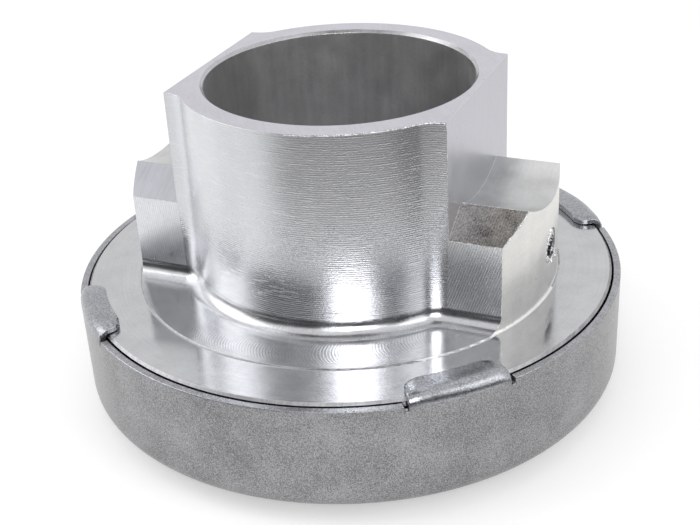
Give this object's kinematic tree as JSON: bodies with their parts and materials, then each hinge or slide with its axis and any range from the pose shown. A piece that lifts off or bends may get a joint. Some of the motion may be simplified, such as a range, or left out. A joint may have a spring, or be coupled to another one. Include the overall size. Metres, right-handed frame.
{
  "type": "clutch release bearing",
  "caption": "Round machined carrier with a guide bore and side lugs for a clutch fork; a crimped steel cup holds a self-centring ball bearing that presses the clutch fingers.",
  "frame": {"origin": "on the axis of the guide bore, in the plane of the face that meets the clutch fingers", "axes": "+Z along the guide bore towards the gearbox, X through the two fork lugs, Y across them"},
  "size_m": [0.0934, 0.0934, 0.0549],
  "materials": {
    "machined_aluminium": "milled and turned, bright",
    "phosphated_steel": "pressed, matt grey",
    "ground_bearing_steel": "turned and ground",
    "polished_ball_steel": "lapped",
    "spring_steel": "blued",
    "cage_polyamide": "moulded, glass filled",
    "seal_rubber": "moulded"
  },
  "bodies": {
    "carrier": {"carrier_sleeve": "machined_aluminium", "retaining_cup": "phosphated_steel"},
    "spring": {"wave_spring": "spring_steel"},
    "outer_race": {"outer_ring": "ground_bearing_steel", "front_seal": "seal_rubber", "rear_seal": "seal_rubber"},
    "cage": {"ball_cage": "cage_polyamide"},
    "thrust": {"thrust_ring": "ground_bearing_steel"},
    "ball_01": {"ball_01": "polished_ball_steel"},
    "ball_02": {"ball_02": "polished_ball_steel"},
    "ball_03": {"ball_03": "polished_ball_steel"},
    "ball_04": {"ball_04": "polished_ball_steel"},
    "ball_05": {"ball_05": "polished_ball_steel"},
    "ball_06": {"ball_06": "polished_ball_steel"},
    "ball_07": {"ball_07": "polished_ball_steel"},
    "ball_08": {"ball_08": "polished_ball_steel"},
    "ball_09": {"ball_09": "polished_ball_steel"},
    "ball_10": {"ball_10": "polished_ball_steel"},
    "ball_11": {"ball_11": "polished_ball_steel"},
    "ball_12": {"ball_12": "polished_ball_steel"},
    "ball_13": {"ball_13": "polished_ball_steel"},
    "ball_14": {"ball_14": "polished_ball_steel"},
    "ball_15": {"ball_15": "polished_ball_steel"},
    "ball_16": {"ball_16": "polished_ball_steel"},
    "ball_17": {"ball_17": "polished_ball_steel"},
    "ball_18": {"ball_18": "polished_ball_steel"}
  },
  "joints": [
    {"name": "centring_x", "type": "slide", "parent": "carrier", "child": "spring", "axis": [1, 0, 0], "range_m": [-0.001, 0.001]},
    {"name": "centring_y", "type": "slide", "parent": "spring", "child": "outer_race", "axis": [0, 1, 0], "range_m": [-0.001, 0.001]},
    {"name": "thrust_spin", "type": "hinge", "parent": "outer_race", "child": "thrust", "pos_m": [0, 0, 0], "axis": [0, 0, 1], "continuous": true},
    {"name": "cage_spin", "type": "hinge", "parent": "outer_race", "child": "cage", "pos_m": [0, 0, 0], "axis": [0, 0, 1], "continuous": true},
    {"name": "ball_01_roll", "type": "hinge", "parent": "cage", "child": "ball_01", "pos_m": [0.03483, 0, 0.01082], "axis": [0.6428, 0, -0.766], "continuous": true},
    {"name": "ball_02_roll", "type": "hinge", "parent": "cage", "child": "ball_02", "pos_m": [0.03273, 0.01191, 0.01082], "axis": [0.604, 0.2198, -0.766], "continuous": true},
    {"name": "ball_03_roll", "type": "hinge", "parent": "cage", "child": "ball_03", "pos_m": [0.02668, 0.02239, 0.01082], "axis": [0.4924, 0.4132, -0.766], "continuous": true},
    {"name": "ball_04_roll", "type": "hinge", "parent": "cage", "child": "ball_04", "pos_m": [0.01741, 0.03016, 0.01082], "axis": [0.3214, 0.5567, -0.766], "continuous": true},
    {"name": "ball_05_roll", "type": "hinge", "parent": "cage", "child": "ball_05", "pos_m": [0.00605, 0.0343, 0.01082], "axis": [0.1116, 0.633, -0.766], "continuous": true},
    {"name": "ball_06_roll", "type": "hinge", "parent": "cage", "child": "ball_06", "pos_m": [-0.00605, 0.0343, 0.01082], "axis": [-0.1116, 0.633, -0.766], "continuous": true},
    {"name": "ball_07_roll", "type": "hinge", "parent": "cage", "child": "ball_07", "pos_m": [-0.01741, 0.03016, 0.01082], "axis": [-0.3214, 0.5567, -0.766], "continuous": true},
    {"name": "ball_08_roll", "type": "hinge", "parent": "cage", "child": "ball_08", "pos_m": [-0.02668, 0.02239, 0.01082], "axis": [-0.4924, 0.4132, -0.766], "continuous": true},
    {"name": "ball_09_roll", "type": "hinge", "parent": "cage", "child": "ball_09", "pos_m": [-0.03273, 0.01191, 0.01082], "axis": [-0.604, 0.2198, -0.766], "continuous": true},
    {"name": "ball_10_roll", "type": "hinge", "parent": "cage", "child": "ball_10", "pos_m": [-0.03483, 0, 0.01082], "axis": [-0.6428, 0, -0.766], "continuous": true},
    {"name": "ball_11_roll", "type": "hinge", "parent": "cage", "child": "ball_11", "pos_m": [-0.03273, -0.01191, 0.01082], "axis": [-0.604, -0.2198, -0.766], "continuous": true},
    {"name": "ball_12_roll", "type": "hinge", "parent": "cage", "child": "ball_12", "pos_m": [-0.02668, -0.02239, 0.01082], "axis": [-0.4924, -0.4132, -0.766], "continuous": true},
    {"name": "ball_13_roll", "type": "hinge", "parent": "cage", "child": "ball_13", "pos_m": [-0.01741, -0.03016, 0.01082], "axis": [-0.3214, -0.5567, -0.766], "continuous": true},
    {"name": "ball_14_roll", "type": "hinge", "parent": "cage", "child": "ball_14", "pos_m": [-0.00605, -0.0343, 0.01082], "axis": [-0.1116, -0.633, -0.766], "continuous": true},
    {"name": "ball_15_roll", "type": "hinge", "parent": "cage", "child": "ball_15", "pos_m": [0.00605, -0.0343, 0.01082], "axis": [0.1116, -0.633, -0.766], "continuous": true},
    {"name": "ball_16_roll", "type": "hinge", "parent": "cage", "child": "ball_16", "pos_m": [0.01741, -0.03016, 0.01082], "axis": [0.3214, -0.5567, -0.766], "continuous": true},
    {"name": "ball_17_roll", "type": "hinge", "parent": "cage", "child": "ball_17", "pos_m": [0.02668, -0.02239, 0.01082], "axis": [0.4924, -0.4132, -0.766], "continuous": true},
    {"name": "ball_18_roll", "type": "hinge", "parent": "cage", "child": "ball_18", "pos_m": [0.03273, -0.01191, 0.01082], "axis": [0.604, -0.2198, -0.766], "continuous": true}
  ],
  "couplings": [
    {"joint": "cage_spin", "follows": "thrust_spin", "ratio": 0.45635},
    {"joint": "ball_01_roll", "follows": "thrust_spin", "ratio": 4.3542},
    {"joint": "ball_02_roll", "follows": "thrust_spin", "ratio": 4.3542},
    {"joint": "ball_03_roll", "follows": "thrust_spin", "ratio": 4.3542},
    {"joint": "ball_04_roll", "follows": "thrust_spin", "ratio": 4.3542},
    {"joint": "ball_05_roll", "follows": "thrust_spin", "ratio": 4.3542},
    {"joint": "ball_06_roll", "follows": "thrust_spin", "ratio": 4.3542},
    {"joint": "ball_07_roll", "follows": "thrust_spin", "ratio": 4.3542},
    {"joint": "ball_08_roll", "follows": "thrust_spin", "ratio": 4.3542},
    {"joint": "ball_09_roll", "follows": "thrust_spin", "ratio": 4.3542},
    {"joint": "ball_10_roll", "follows": "thrust_spin", "ratio": 4.3542},
    {"joint": "ball_11_roll", "follows": "thrust_spin", "ratio": 4.3542},
    {"joint": "ball_12_roll", "follows": "thrust_spin", "ratio": 4.3542},
    {"joint": "ball_13_roll", "follows": "thrust_spin", "ratio": 4.3542},
    {"joint": "ball_14_roll", "follows": "thrust_spin", "ratio": 4.3542},
    {"joint": "ball_15_roll", "follows": "thrust_spin", "ratio": 4.3542},
    {"joint": "ball_16_roll", "follows": "thrust_spin", "ratio": 4.3542},
    {"joint": "ball_17_roll", "follows": "thrust_spin", "ratio": 4.3542},
    {"joint": "ball_18_roll", "follows": "thrust_spin", "ratio": 4.3542}
  ]
}
